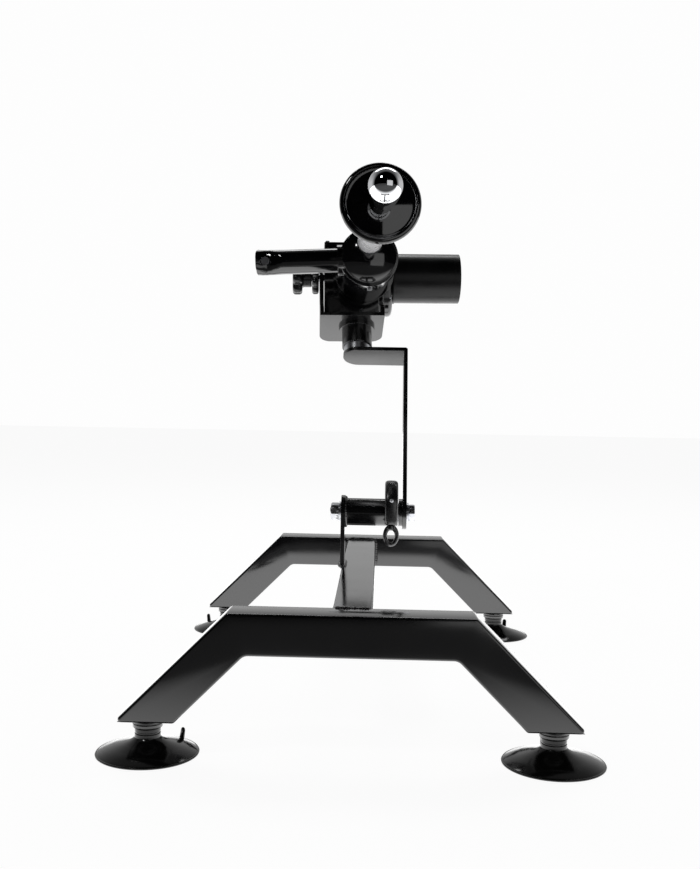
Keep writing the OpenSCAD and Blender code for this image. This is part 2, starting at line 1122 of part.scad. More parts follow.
module grip_tube() {
  flat_len = 30;
  flat_t = 9;
  color("#151517")
    on_grip()
      rotate([0, -90, 0])
        difference() {
          union() {
            rod_z(grip_d, grip_start, grip_end - flat_len);
            hull() {
              rod_z(grip_d, grip_end - flat_len - 1, grip_end - flat_len);
              translate([0, 0, grip_end - 4])
                cube([flat_t, grip_d + 2, 8], center = true);
            }
          }
          rod_z(grip_d - 4, grip_start - 1, grip_end - flat_len - 3);
          grip_hole();
        }
}

module grip_hole() {
  translate([0, 0, grip_bolt_s])
    rotate([0, 90, 0])
      cylinder(d = grip_bolt_d + 2 * run_gap, h = 2 * grip_d, center = true);
}

module grip_bolt() {
  color("#5a5c60")
    on_grip()
      rotate([0, -90, 0])
        translate([0, 0, grip_bolt_s])
          rotate([0, 90, 0]) {
            rod_z(grip_bolt_d, -grip_head_low, grip_head_low);
            rod_z(grip_head_d, grip_head_low, grip_head_low + grip_head_h);
            rod_z(grip_head_d, -grip_head_low - grip_head_h, -grip_head_low);
          }
}

// ---------- shafts, gears and gear case ----------

module main_shaft() {
  color("#b9bbc0")
    on_drive()
      bar_x(shaft_d, bearing_l_x - 2, stage_out_x + gear_w);
}

module pinion() {
  color("#9a9ca2")
    on_drive()
      gear_x(pinion_n, tube_x - pinion_w / 2, pinion_w, shaft_d, 0);
}

module shaft_bearings() {
  color("#a8aab0")
    on_drive() {
      tube_x_dir(bearing_d, shaft_d + 2 * run_gap, bearing_l_x, bearing_l_x + bearing_w);
      tube_x_dir(bearing_d, shaft_d + 2 * run_gap, bearing_r_x, bearing_r_x + bearing_w);
      tube_x_dir(nose_d, motor_shaft_d + 2 * run_gap, motor_x0, motor_x0 + 5);
      tube_x_dir(motor_bearing_d, motor_shaft_d + 2 * run_gap, motor_x1 - 12, motor_x1 - 6.5);
    }
}

module output_gear() {
  color("#9a9ca2")
    on_drive()
      gear_x(big_n, stage_out_x, gear_w, shaft_d, 180);
}

module on_idler() {
  on_drive()
    translate([0, 0, -gear_gap])
      children();
}

module idler_shaft() {
  color("#b9bbc0")
    on_idler()
      bar_x(idler_d, case_x0 + 0.8, case_x1 - 0.8);
}

module idler_gear() {
  color("#9a9ca2")
    on_idler() {
      gear_x(small_n, stage_out_x, gear_w, idler_d, 180 / small_n);
      gear_x(big_n, stage_in_x, gear_w, idler_d, 0);
      tube_x_dir(12, idler_d, stage_out_x + 1, stage_in_x + 1);
    }
}

module at_case_screws() {
  for (p = case_screw_spots)
    translate([0, p[0], p[1]])
      children();
}

module case_shape(grow, x0, x1) {
  hull() {
    bar_x(2 * (case_r + grow), x0, x1);
    translate([0, 0, -gear_gap])
      bar_x(2 * (case_r + grow), x0, x1);
  }
}

// cup over the gears, with its outer edge rounded off in three steps
module gear_case() {
  edge = case_wall + case_round;
  color("#2b2b2e")
    on_drive()
      difference() {
        hull() {
          case_shape(edge, case_x0 + case_wall, case_x1 - case_round);
          case_shape(case_wall + case_round * cos(30), case_x1 - case_round, case_x1 - case_round / 2);
          case_shape(case_wall + case_round * cos(60), case_x1 - case_round, case_x1 - case_round * 0.13);
          case_shape(case_wall, case_x1 - case_round, case_x1);
        }
        case_shape(0, case_x0, case_x1 - case_wall);
        bar_x(motor_shaft_d + 2, case_x0, case_x1 + 1);
        idler_seats();
        at_case_screws() {
          bar_x(3, case_x0, case_x1);
          bar_x(6, case_x1 - 3.5, case_x1 + 1);
        }
      }
}

module idler_seats() {
  translate([0, 0, -gear_gap])
    bar_x(idler_d + 2 * run_gap, case_x0 + 0.7, case_x1 - 0.7);
}

module case_back() {
  color("#2b2b2e")
    on_drive()
      difference() {
        case_shape(case_wall + case_round, case_x0, case_x0 + case_wall);
        bar_x(shaft_d + 2, case_x0 - 1, case_x0 + case_wall + 1);
        idler_seats();
        at_case_screws()
          bar_x(3, case_x0 + 0.4, case_x1);
      }
}

module at_motor_screws() {
  for (a = [0, 180])
    rotate([a, 0, 0])
      translate([0, 15, 0])
        children();
}

module motor_plate() {
  chamfer = 1.5;
  color("#1c1c1e")
    on_drive()
      difference() {
        union() {
          bar_x(motor_d + 2, case_x1 + chamfer, motor_x0);
          translate([case_x1, 0, 0])
            rotate([0, 90, 0])
              cylinder(d1 = motor_d + 2 - 2 * chamfer, d2 = motor_d + 2, h = chamfer);
        }
        bar_x(motor_shaft_d + 2, case_x1 - 1, motor_x0 + 1);
        at_motor_screws()
          bar_x(4, case_x1 + 0.1, motor_x0 + 1);
      }
}

// ---------- motor ----------

module motor_can() {
  color("#0e0e0f")
    on_drive()
      difference() {
        bar_x(motor_d, motor_x0, motor_x1 - end_len);
        bar_x(motor_d - 2 * can_wall, motor_x0 + 5, motor_x1);
        bar_x(nose_d, motor_x0 - 1, motor_x0 + 6);
        at_motor_screws()
          bar_x(4, motor_x0 - 1, motor_x0 + 6);
        translate([socket_x, 0, 0])
          rotate([-90, 0, 0])
            cylinder(d = socket_d, h = motor_d);
      }
}

module motor_end() {
  color("#101011")
    on_drive()
      difference() {
        union() {
          bar_x(motor_d, motor_x1 - end_len, motor_x1);
          bar_x(motor_d - 2 * can_wall, motor_x1 - 12, motor_x1 - end_len);
        }
        bar_x(motor_bearing_d, motor_x1 - 13, motor_x1 - 5);
        for (k = [0:7])
          rotate([45 * k, 0, 0])
            translate([0, 0, 22])
              bar_x(6, motor_x1 - 13, motor_x1 + 1);
      }
}

module motor_magnets() {
  color("#3a3a3d")
    on_drive()
      difference() {
        tube_x_dir(motor_d - 2 * can_wall, 50, rotor_x0, rotor_x1);
        for (a = [0, 90])
          rotate([a + 45, 0, 0])
            translate([rotor_x0 - 1, -4, -50])
              cube([rotor_x1 - rotor_x0 + 2, 8, 100]);
      }
}

module motor_rotor() {
  color("#8a5a34")
    on_drive()
      difference() {
        tube_x_dir(rotor_d, motor_shaft_d, rotor_x0, rotor_x1);
        for (k = [0:11])
          rotate([30 * k, 0, 0])
            translate([rotor_x0 - 1, -1, rotor_d / 2 - 7])
              cube([rotor_x1 - rotor_x0 + 2, 2, 9]);
      }
}

module motor_shaft() {
  color("#b9bbc0")
    on_drive()
      bar_x(motor_shaft_d, stage_in_x, motor_x1 - 6);
}

module motor_gear() {
  color("#9a9ca2")
    on_drive()
      gear_x(small_n, stage_in_x, gear_w, motor_shaft_d, 180 + 180 / small_n);
}

module power_socket() {
  color("#242427")
    on_drive()
      translate([socket_x, 0, 0])
        rotate([-90, 0, 0])
          difference() {
            union() {
              rod_z(socket_d, motor_d / 2 - can_wall, motor_d / 2 + 1);
              rod_z(18, motor_d / 2 + 1, motor_d / 2 + 10);
            }
            rod_z(11, motor_d / 2 + 3, motor_d / 2 + 11);
          }
}

// ---------- rod, disc and tip ----------

// straight-flanked teeth along the rod's underside, seen from the side:
// x runs towards the front, y is the height above the pinion axis
module rack_cut_2d() {
  low = -5;
  half_tip = rack_pitch / 4 - gear_m * tan(press_angle) - flank_thin;
  half_root = rack_pitch / 4 + 1.25 * gear_m * tan(press_angle) - flank_thin;
  first = -floor((rod_back - 2) / rack_pitch);
  last = floor((rack_front - 3) / rack_pitch);
  polygon(concat(
    [[rack_front, low], [rack_front, rack_root]],
    [for (k = [last:-1:first]) for (j = [0:3])
      let (c = (k + 0.5) * rack_pitch)
      j == 0 ? [c + half_root, rack_root]
      : j == 1 ? [c + half_tip, rack_tip]
      : j == 2 ? [c - half_tip, rack_tip]
      : [c - half_root, rack_root]],
    [[-rod_back - 1, rack_root], [-rod_back - 1, low]]
  ));
}

module rod() {
  color("#d8dade")
    on_tube()
      difference() {
        rod_room(rod_d, -rod_back, rod_front);
        rotate([0, -90, 0])
          linear_extrude(2 * rod_d, center = true)
            rack_cut_2d();
      }
}

module end_disc() {
  edge = 4;
  r = disc_d / 2;
  color("#0e0e0f")
    on_rod()
      difference() {
        rotate_extrude()
          translate([0, rod_front]) {
            square([r - edge, disc_t]);
            translate([0, edge])
              square([r, disc_t - 2 * edge]);
            for (h = [edge, disc_t - edge])
              translate([r - edge, h])
                circle(r = edge);
          }
        rod_z(12, rod_front - 1, rod_front + disc_t + 1);
      }
}

module tip() {
  z0 = rod_front + disc_t;
  z1 = z0 + tip_neck_len;
  belt = 22;
  belt_len = 8;
  r = tip_d / 2;
  dome = tip_len - tip_neck_len - belt - belt_len;
  color("#dcdee2")
    on_rod() {
      rod_z(12, rod_front, z0);
      rod_z(tip_neck_d, z0, z1);
      rotate_extrude()
        translate([0, z1]) {
          polygon([[0, 0], [r - 1.5, 0], [r, belt], [r, belt + belt_len], [0, belt + belt_len]]);
          translate([0, belt + belt_len])
            scale([1, dome / r])
              intersection() {
                circle(r = r);
                square(r);
              }
        }
    }
}

front_beam();
rear_beam();
spine();
leg_plates();
foot_studs();
foot_nuts();
foot_collars();
suction_cups();
pivot_lug();
pivot_boss();
pivot_bolt();
pivot_nut();
pivot_washers();
snap_hook();
snap_gate();
snap_pin();
snap_eye();
tilt_bracket();
swivel_collar();
swivel_post();
swivel_hub();
swivel_ring();
swivel_screw();
cradle();
ear_bush();
ring_screws();
star_knob();
knob_stud();
lock_wheel();
drive_body();
body_cover();
drive_screws();
tube_flange();
guide_tube();
tube_cap();
rod_bushes();
rod_seal();
set_screw();
grip_collar();
grip_tube();
grip_bolt();
main_shaft();
pinion();
shaft_bearings();
output_gear();
gear_case();
case_back();
idler_shaft();
idler_gear();
motor_plate();
motor_can();
motor_end();
motor_magnets();
motor_rotor();
motor_shaft();
motor_gear();
power_socket();
rod();
end_disc();
tip();
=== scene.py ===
"""Looks of the low stand with the motor-driven rod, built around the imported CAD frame.

Objects are in metres. Sizes, outlines and profiles are written in millimetres.
"""

import json
import math

import bmesh
import bpy
from mathutils import Matrix, Vector, noise


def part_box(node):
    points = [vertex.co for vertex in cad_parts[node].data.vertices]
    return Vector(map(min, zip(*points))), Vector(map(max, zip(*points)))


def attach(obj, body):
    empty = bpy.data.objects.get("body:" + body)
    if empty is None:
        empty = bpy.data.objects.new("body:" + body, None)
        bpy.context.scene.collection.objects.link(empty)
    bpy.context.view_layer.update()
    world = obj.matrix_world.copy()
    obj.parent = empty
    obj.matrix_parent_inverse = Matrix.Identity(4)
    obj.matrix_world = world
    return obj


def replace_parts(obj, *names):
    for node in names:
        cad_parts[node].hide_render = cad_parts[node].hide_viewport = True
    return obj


MM = 0.001
TAU = 2 * math.pi

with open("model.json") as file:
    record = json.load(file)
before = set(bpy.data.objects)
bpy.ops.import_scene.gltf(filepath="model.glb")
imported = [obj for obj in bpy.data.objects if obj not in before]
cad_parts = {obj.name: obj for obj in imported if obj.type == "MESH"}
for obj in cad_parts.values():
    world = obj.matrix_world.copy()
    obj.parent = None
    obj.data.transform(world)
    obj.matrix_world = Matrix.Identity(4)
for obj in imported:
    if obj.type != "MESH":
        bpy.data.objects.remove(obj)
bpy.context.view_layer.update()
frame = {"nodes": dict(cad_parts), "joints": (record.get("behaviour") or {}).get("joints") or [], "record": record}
slot_of = {s["node"]: s["material_slot"] for s in frame["record"]["subparts"]}
joints = {j["name"]: j for j in frame["joints"]}


# ---------- places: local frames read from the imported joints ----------

class Place:
    """A local frame with its own origin and axes, in metres."""

    def __init__(self, origin, x, z):
        self.origin = Vector(origin)
        self.z = Vector(z).normalized()
        self.y = self.z.cross(Vector(x)).normalized()
        self.x = self.y.cross(self.z)

    def point(self, x, y, z):
        """The row-frame point of a local point given in millimetres."""
        return self.origin + (self.x * x + self.y * y + self.z * z) * MM

    def moved(self, x=0, y=0, z=0):
        return Place(self.point(x, y, z), self.x, self.z)

    def turned(self, degrees):
        """The same place turned about its own z."""
        a = math.radians(degrees)
        return Place(self.origin, self.x * math.cos(a) + self.y * math.sin(a), self.z)

    def facing(self, direction):
        """The same origin, with z along one of 'x', '-x', '-y' and so on, of this place."""
        axis = getattr(self, direction[-1]) * (-1 if direction[0] == "-" else 1)
        side = self.z if direction[-1] == "x" else self.x
        return Place(self.origin, side, axis)

    def span(self, node):
        """Lowest and highest local x, y, z of a CAD node, in millimetres."""
        points = [v.co - self.origin for v in frame["nodes"][node].data.vertices]
        axes = (self.x, self.y, self.z)
        low = [min(p.dot(a) for p in points) / MM for a in axes]
        high = [max(p.dot(a) for p in points) / MM for a in axes]
        return low, high


WORLD = Place((0, 0, 0), (1, 0, 0), (0, 0, 1))
PIVOT = Place(joints["bracket_tilt"]["pos_m"], (1, 0, 0), (0, 0, 1))
HEAD_X = Vector(joints["head_pitch"]["axis"])
OUT = Vector(joints["rod_slide"]["axis"])
DRIVE = Place(joints["head_pitch"]["pos_m"], HEAD_X, HEAD_X.cross(-OUT))
TUBE = Place(joints["grip_swing"]["pos_m"], HEAD_X, OUT)


# ---------- meshes ----------

def add_mesh(name, points, faces, body, material, crease=35):
    """One smooth-shaded piece that rides on a body; edges above the crease angle stay sharp."""
    mesh = bpy.data.meshes.new(name)
    mesh.from_pydata([tuple(p) for p in points], [], faces)
    shape = bmesh.new()
    shape.from_mesh(mesh)
    bmesh.ops.remove_doubles(shape, verts=shape.verts, dist=1e-6)
    bmesh.ops.recalc_face_normals(shape, faces=shape.faces)
    shape.to_mesh(mesh)
    shape.free()
    mesh.shade_smooth()
    mesh.set_sharp_from_angle(angle=math.radians(crease))
    piece = bpy.data.objects.new(name, mesh)
    bpy.context.scene.collection.objects.link(piece)
    mesh.materials.append(material)
    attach(piece, body)
    return piece


class Shape:
    """Points and faces gathered from several lofts, for one piece."""

    def __init__(self):
        self.points = []
        self.faces = []

    def loft(self, rings, ends=True, loop=False):
        """Joins rings of equally many points; ends closes the first and last ring."""
        base = len(self.points)
        count = len(rings[0])
        for ring in rings:
            self.points.extend(ring)
        pairs = len(rings) if loop else len(rings) - 1
        for i in range(pairs):
            a = base + i * count
            b = base + (i + 1) % len(rings) * count
            for k in range(count):
                n = (k + 1) % count
                self.faces.append((a + k, a + n, b + n, b + k))
        if ends and not loop:
            self.faces.append(tuple(range(base, base + count)))
            last = base + (len(rings) - 1) * count
            self.faces.append(tuple(range(last, last + count)))
        return self

    def lathe(self, place, profile, steps=96, closed=False):
        """Turns a profile of (radius, height) in millimetres about the place's z."""
        rings = []
        for r, h in profile:
            ring = [place.point(r * math.cos(TAU * k / steps), r * math.sin(TAU * k / steps), h)
                    for k in range(steps)]
            rings.append(ring)
        return self.loft(rings, ends=not closed, loop=closed)

    def piece(self, name, body, slot, crease=35):
        return add_mesh(name, self.points, self.faces, body, FINISH[slot], crease)


def arc(cx, cy, r, start, end, steps=8):
    """Points of an arc in degrees, for profiles."""
    angles = [math.radians(start + (end - start) * i / steps) for i in range(steps + 1)]
    return [(cx + r * math.cos(a), cy + r * math.sin(a)) for a in angles]


def rounded(corners, steps=5):
    """A closed outline from (x, y, corner radius) with every corner rounded."""
    outline = []
    count = len(corners)
    for i, (x, y, r) in enumerate(corners):
        here = Vector((x, y))
        a = (Vector(corners[i - 1][:2]) - here).normalized()
        b = (Vector(corners[(i + 1) % count][:2]) - here).normalized()
        half = a.angle(b) / 2
        reach = r / math.tan(half)
        centre = here + (a + b).normalized() * (r / math.sin(half))
        start = here + a * reach - centre
        sweep = start.angle_signed(here + b * reach - centre)
        for k in range(steps + 1):
            turned = start.copy()
            turned.rotate(Matrix.Rotation(-sweep * k / steps, 2))
            outline.append(centre + turned)
    return outline


def inset(outline, distance):
    """The outline moved inwards; the outline runs counter-clockwise."""
    moved = []
    count = len(outline)
    for i, p in enumerate(outline):
        a = (p - outline[i - 1])
        b = (outline[(i + 1) % count] - p)
        normal_a = Vector((-a.y, a.x)).normalized()
        normal_b = Vector((-b.y, b.x)).normalized()
        middle = (normal_a + normal_b).normalized()
        moved.append(p + middle * distance / max(0.5, middle.dot(normal_a)))
    return moved


def slab_rings(outline, place, half, edge, steps=4):
    """Rings of an outline given thickness along the place's z, with rounded outer edges."""
    turns = [i / steps * math.pi / 2 for i in range(steps + 1)]
    stops = [(edge * (1 - math.sin(t)), -half + edge * (1 - math.cos(t))) for t in turns]
    stops += [(d, -h) for d, h in reversed(stops)]
    return [[place.point(p.x, p.y, h) for p in inset(outline, d)] for d, h in stops]


def oval(width, height, power=2.0, steps=24):
    """A rounded-rectangle section; power 2 is an ellipse, more is squarer."""
    points = []
    for k in range(steps):
        c, s = math.cos(TAU * k / steps), math.sin(TAU * k / steps)
        x = math.copysign(abs(c) ** (2 / power), c) * width / 2
        y = math.copysign(abs(s) ** (2 / power), s) * height / 2
        points.append((x, y))
    return points


RIPPLE = 2.6
BEAD_SIDES = 10


def bead_circle(centre, a, b, r):
    """One ring of a weld bead, in the plane of a and b."""
    turns = [TAU * k / BEAD_SIDES for k in range(BEAD_SIDES)]
    return [centre + a * (r * math.cos(t)) + b * (r * math.sin(t)) for t in turns]


def weld_rings(stops, size):
    """Rings of a weld bead along straight stops (row-frame points), rippled like laid-down puddles."""
    rings = []
    for start, end in zip(stops, stops[1:]):
        run = end - start
        forward = run.normalized()
        side = forward.orthogonal().normalized()
        up = forward.cross(side)
        count = max(4, int(run.length / MM / RIPPLE * 5))
        for i in range(count + 1):
            t = i / count
            travelled = t * run.length / MM
            lump = 0.86 + 0.2 * abs(math.sin(math.pi * travelled / RIPPLE))
            lump *= 1 + 0.18 * noise.noise((start + run * t) * 260)
            end_fade = min(1, 0.45 + 4 * min(t, 1 - t))
            rings.append(bead_circle(start + run * t, side, up, size * lump * end_fade * MM))
    return rings


def ring_weld_rings(place, radius, size):
    """Rings of a bead laid round a place's z."""
    length = TAU * radius
    count = max(12, int(length / RIPPLE * 4))
    rings = []
    for i in range(count):
        a = TAU * i / count
        travelled = length * i / count
        lump = 0.86 + 0.2 * abs(math.sin(math.pi * travelled / RIPPLE))
        out = place.x * math.cos(a) + place.y * math.sin(a)
        centre = place.origin + out * (radius * MM)
        lump *= 1 + 0.16 * noise.noise(centre * 260)
        rings.append(bead_circle(centre, out, place.z, size * lump * MM))
    return rings


# ---------- materials ----------

def new_material(name):
    material = bpy.data.materials.new(name)
    material.use_nodes = True
    nodes = material.node_tree.nodes
    return material, nodes, material.node_tree.links, nodes["Principled BSDF"]


def noise_node(nodes, links, coords, scale, detail=3.0, stretch=None):
    """A noise texture in object space, optionally stretched to give a brushed grain."""
    texture = nodes.new("ShaderNodeTexNoise")
    texture.inputs["Scale"].default_value = scale
    texture.inputs["Detail"].default_value = detail
    source = coords.outputs["Object"]
    if stretch:
        mapping = nodes.new("ShaderNodeMapping")
        mapping.inputs["Scale"].default_value = stretch
        links.new(source, mapping.inputs["Vector"])
        source = mapping.outputs["Vector"]
    links.new(source, texture.inputs["Vector"])
    return texture.outputs["Fac"]


def remap(nodes, links, value, low, high, start=0.3, end=0.7):
    node = nodes.new("ShaderNodeMapRange")
    node.inputs["From Min"].default_value = start
    node.inputs["From Max"].default_value = end
    node.inputs["To Min"].default_value = low
    node.inputs["To Max"].default_value = high
    links.new(value, node.inputs["Value"])
    return node.outputs["Result"]


def blend_colour(nodes, links, share, a, b):
    node = nodes.new("ShaderNodeMix")
    node.data_type = "RGBA"
    node.inputs["A"].default_value = (*a, 1)
    node.inputs["B"].default_value = (*b, 1)
    links.new(share, node.inputs["Factor"])
    return node.outputs["Result"]


BUMP_DEPTH = 0.1
RUB_PATCHES = 90


def finish(name, colour, second, rough, metal=0.0, patch=30, grain=500, bump=0.05, stretch=None,
           edge=0.7, wear=None, wear_share=0.35, shine=0.5, ior=1.5):
    """A procedural finish: two-tone colour, uneven roughness, fine bump, rounded and worn edges."""
    material, nodes, links, shader = new_material(name)
    coords = nodes.new("ShaderNodeTexCoord")
    patches = noise_node(nodes, links, coords, patch)
    fine = noise_node(nodes, links, coords, grain, 2.0, stretch)
    rounding = nodes.new("ShaderNodeBevel")
    rounding.samples = 4
    rounding.inputs["Radius"].default_value = edge * MM
    relief = nodes.new("ShaderNodeBump")
    relief.inputs["Strength"].default_value = bump
    relief.inputs["Distance"].default_value = BUMP_DEPTH * MM
    links.new(fine, relief.inputs["Height"])
    links.new(rounding.outputs["Normal"], relief.inputs["Normal"])
    links.new(relief.outputs["Normal"], shader.inputs["Normal"])
    body_colour = blend_colour(nodes, links, remap(nodes, links, patches, 0, 1), colour, second)
    if wear:
        # where the rounded normal leaves the true one there is an edge, rubbed in patches
        geometry = nodes.new("ShaderNodeNewGeometry")
        match = nodes.new("ShaderNodeVectorMath")
        match.operation = "DOT_PRODUCT"
        links.new(rounding.outputs["Normal"], match.inputs[0])
        links.new(geometry.outputs["Normal"], match.inputs[1])
        edges = remap(nodes, links, match.outputs["Value"], wear_share, 0, 0.72, 0.97)
        rubbed = nodes.new("ShaderNodeMath")
        rubbed.operation = "MULTIPLY"
        links.new(edges, rubbed.inputs[0])
        patchy = noise_node(nodes, links, coords, RUB_PATCHES)
        links.new(remap(nodes, links, patchy, 0, 1, 0.45, 0.65), rubbed.inputs[1])
        worn = nodes.new("ShaderNodeMix")
        worn.data_type = "RGBA"
        worn.inputs["B"].default_value = (*wear, 1)
        links.new(body_colour, worn.inputs["A"])
        links.new(rubbed.outputs["Value"], worn.inputs["Factor"])
        body_colour = worn.outputs["Result"]
    links.new(body_colour, shader.inputs["Base Color"])
    links.new(remap(nodes, links, patches, rough[0], rough[1]), shader.inputs["Roughness"])
    shader.inputs["Metallic"].default_value = metal
    shader.inputs["Specular IOR Level"].default_value = shine
    shader.inputs["IOR"].default_value = ior
    return material


PAINT_WEAR = (0.07, 0.07, 0.072)
GLOSS_IOR = 1.85
FINISH = {
    "frame_black": finish("frame_black", (0.0035, 0.0035, 0.004), (0.005, 0.005, 0.0055), (0.10, 0.17),
                          patch=14, grain=420, bump=0.10, wear=PAINT_WEAR, ior=GLOSS_IOR),
    "bracket_black": finish("bracket_black", (0.004, 0.004, 0.0045), (0.006, 0.006, 0.0065), (0.12, 0.2),
                            patch=20, grain=480, bump=0.09, wear=PAINT_WEAR, ior=GLOSS_IOR),
    "drive_black": finish("drive_black", (0.0025, 0.0025, 0.003), (0.004, 0.004, 0.0045), (0.05, 0.1),
                          patch=25, grain=300, bump=0.05, wear=PAINT_WEAR, wear_share=0.2, ior=GLOSS_IOR),
    "case_grey": finish("case_grey", (0.006, 0.006, 0.0065), (0.009, 0.009, 0.0095), (0.1, 0.18),
                        patch=25, grain=650, bump=0.12, wear=PAINT_WEAR, ior=GLOSS_IOR),
    "motor_black": finish("motor_black", (0.003, 0.003, 0.0032), (0.0045, 0.0045, 0.005), (0.28, 0.38),
                          patch=35, grain=1500, bump=0.25, wear=PAINT_WEAR, shine=0.3),
    "zinc": finish("zinc", (0.62, 0.63, 0.65), (0.5, 0.51, 0.54), (0.2, 0.36), metal=1.0,
                   patch=120, grain=900, bump=0.2, edge=0.4),
    "steel": finish("steel", (0.42, 0.43, 0.45), (0.34, 0.34, 0.36), (0.24, 0.36), metal=1.0,
                    patch=90, grain=260, bump=0.16, stretch=(1, 1, 14), edge=0.25),
    "chrome": finish("chrome", (0.80, 0.81, 0.83), (0.76, 0.77, 0.79), (0.02, 0.05), metal=1.0,
                     patch=18, grain=220, bump=0.012, edge=0.3),
    "rod_satin": finish("rod_satin", (0.92, 0.92, 0.93), (0.86, 0.86, 0.88), (0.22, 0.34), metal=0.55,
                        patch=60, grain=260, bump=0.04, stretch=(14, 1, 14), edge=0.3),
    "hook_black": finish("hook_black", (0.005, 0.005, 0.0055), (0.010, 0.010, 0.011), (0.2, 0.32),
                         patch=80, grain=700, bump=0.25, wear=(0.16, 0.16, 0.165), wear_share=0.5,
                         ior=GLOSS_IOR),
    "cup_rubber": finish("cup_rubber", (0.0035, 0.0035, 0.0035), (0.006, 0.006, 0.006), (0.08, 0.2),
                         patch=40, grain=520, bump=0.14, edge=0.5),
    "knob_plastic": finish("knob_plastic", (0.006, 0.006, 0.0065), (0.009, 0.009, 0.0095), (0.16, 0.28),
                           patch=60, grain=1200, bump=0.3, wear=(0.05, 0.05, 0.05)),
    "disc_gloss": finish("disc_gloss", (0.0025, 0.0025, 0.003), (0.004, 0.004, 0.0045), (0.03, 0.06),
                         patch=22, grain=160, bump=0.03, edge=0.5, ior=GLOSS_IOR),
    "bush_bronze": finish("bush_bronze", (0.44, 0.29, 0.13), (0.35, 0.23, 0.11), (0.25, 0.38), metal=1.0,
                          patch=80, grain=500, bump=0.15),
    "magnet_dark": finish("magnet_dark", (0.03, 0.03, 0.032), (0.045, 0.045, 0.048), (0.45, 0.6),
                          patch=60, grain=900, bump=0.3),
    "rotor_copper": finish("rotor_copper", (0.26, 0.11, 0.05), (0.16, 0.08, 0.045), (0.3, 0.45), metal=0.8,
                           patch=60, grain=240, bump=0.5, stretch=(20, 1, 1)),
}

# every CAD node gets its slot's finish; the rod's drawn steel is duller than the tip's chrome
for name, node in frame["nodes"].items():
    node.data.materials.clear()
    node.data.materials.append(FINISH["rod_satin" if name == "rod" else slot_of[name]])
    node.data.set_sharp_from_angle(angle=math.radians(32))


# ---------- base frame ----------

low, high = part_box("front_beam")
TUBE_SIDE = (high.y - low.y) / MM
LEG_TIP = high.x / MM
LEG_END_Z = low.z / MM
BEAM_TOP_Z = high.z / MM
HALF_TOP = LEG_TIP - (BEAM_TOP_Z - LEG_END_Z)
MITER = TUBE_SIDE * math.tan(math.radians(22.5))
BEAM_EDGE = 2.4
SPINE_EDGE = 3


def beam_outline():
    """Outline of a cross beam seen from the front, with its corners rounded as a bent tube's are."""
    low_z = BEAM_TOP_Z - TUBE_SIDE
    inner = HALF_TOP - MITER
    foot_in = inner + low_z - LEG_END_Z
    return rounded([
        (-LEG_TIP, LEG_END_Z, 3),
        (-foot_in, LEG_END_Z, 4),
        (-inner, low_z, 10),
        (inner, low_z, 10),
        (foot_in, LEG_END_Z, 4),
        (LEG_TIP, LEG_END_Z, 3),
        (HALF_TOP, BEAM_TOP_Z, 5),
        (-HALF_TOP, BEAM_TOP_Z, 5),
    ])


def build_beam(node):
    low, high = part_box(node)
    middle = Vector((0, (low.y + high.y) / 2, 0))
    across = Place(middle, (1, 0, 0), (0, -1, 0))
    shape = Shape().loft(slab_rings(beam_outline(), across, TUBE_SIDE / 2, BEAM_EDGE))
    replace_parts(shape.piece(node + "_tube", "base", "frame_black"), node)


def build_spine():
    low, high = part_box("spine")
    along = Place((0, 0, 0), (1, 0, 0), (0, -1, 0))
    x = high.x / MM
    z0, z1 = low.z / MM, high.z / MM
    outline = rounded([(sx, z, SPINE_EDGE) for sx, z in ((-x, z0), (x, z0), (x, z1), (-x, z1))])
    ring = [[along.point(p.x, p.y, h) for p in outline] for h in (-high.y / MM, high.y / MM)]
    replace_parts(Shape().loft(ring).piece("spine_tube", "base", "frame_black"), "spine")


build_beam("front_beam")
build_beam("rear_beam")
build_spine()


SPINE_BEAD = 3.4
LUG_BEAD = 2.8
BOSS_BEAD = 2.6


def build_frame_welds():
    """Beads round both ends of the spine, round the lug's foot and where the boss meets the lug."""
    low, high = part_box("spine")
    shape = Shape()
    for y in (low.y, high.y):
        sides = ((-1, low.z), (-1, high.z), (1, high.z), (1, low.z))
        corners = [Vector((sx * high.x, y, z)) for sx, z in sides]
        shape.loft(weld_rings(corners, SPINE_BEAD))
    low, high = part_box("pivot_lug")
    for x in (low.x, high.x):
        shape.loft(weld_rings([Vector((x, low.y, low.z)), Vector((x, high.y, low.z))], LUG_BEAD))
    for y in (low.y, high.y):
        shape.loft(weld_rings([Vector((low.x, y, low.z)), Vector((high.x, y, low.z))], LUG_BEAD))
    low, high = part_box("pivot_boss")
    at_lug = Place((low.x, PIVOT.origin.y, PIVOT.origin.z), (0, 1, 0), (1, 0, 0))
    radius = (high.z - low.z) / 2 / MM
    shape.loft(ring_weld_rings(at_lug, radius, BOSS_BEAD), loop=True)
    shape.piece("frame_welds", "base", "frame_black", crease=60)


build_frame_welds()


# ---------- feet ----------

low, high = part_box("suction_cups")
CUP_R = 49
NECK_R = 12.3
FOOT_X = high.x / MM - CUP_R
FOOT_Y = high.y / MM - CUP_R
TAB_ANGLES = {(-1, -1): 47, (-1, 1): 143, (1, -1): 95, (1, 1): 60}


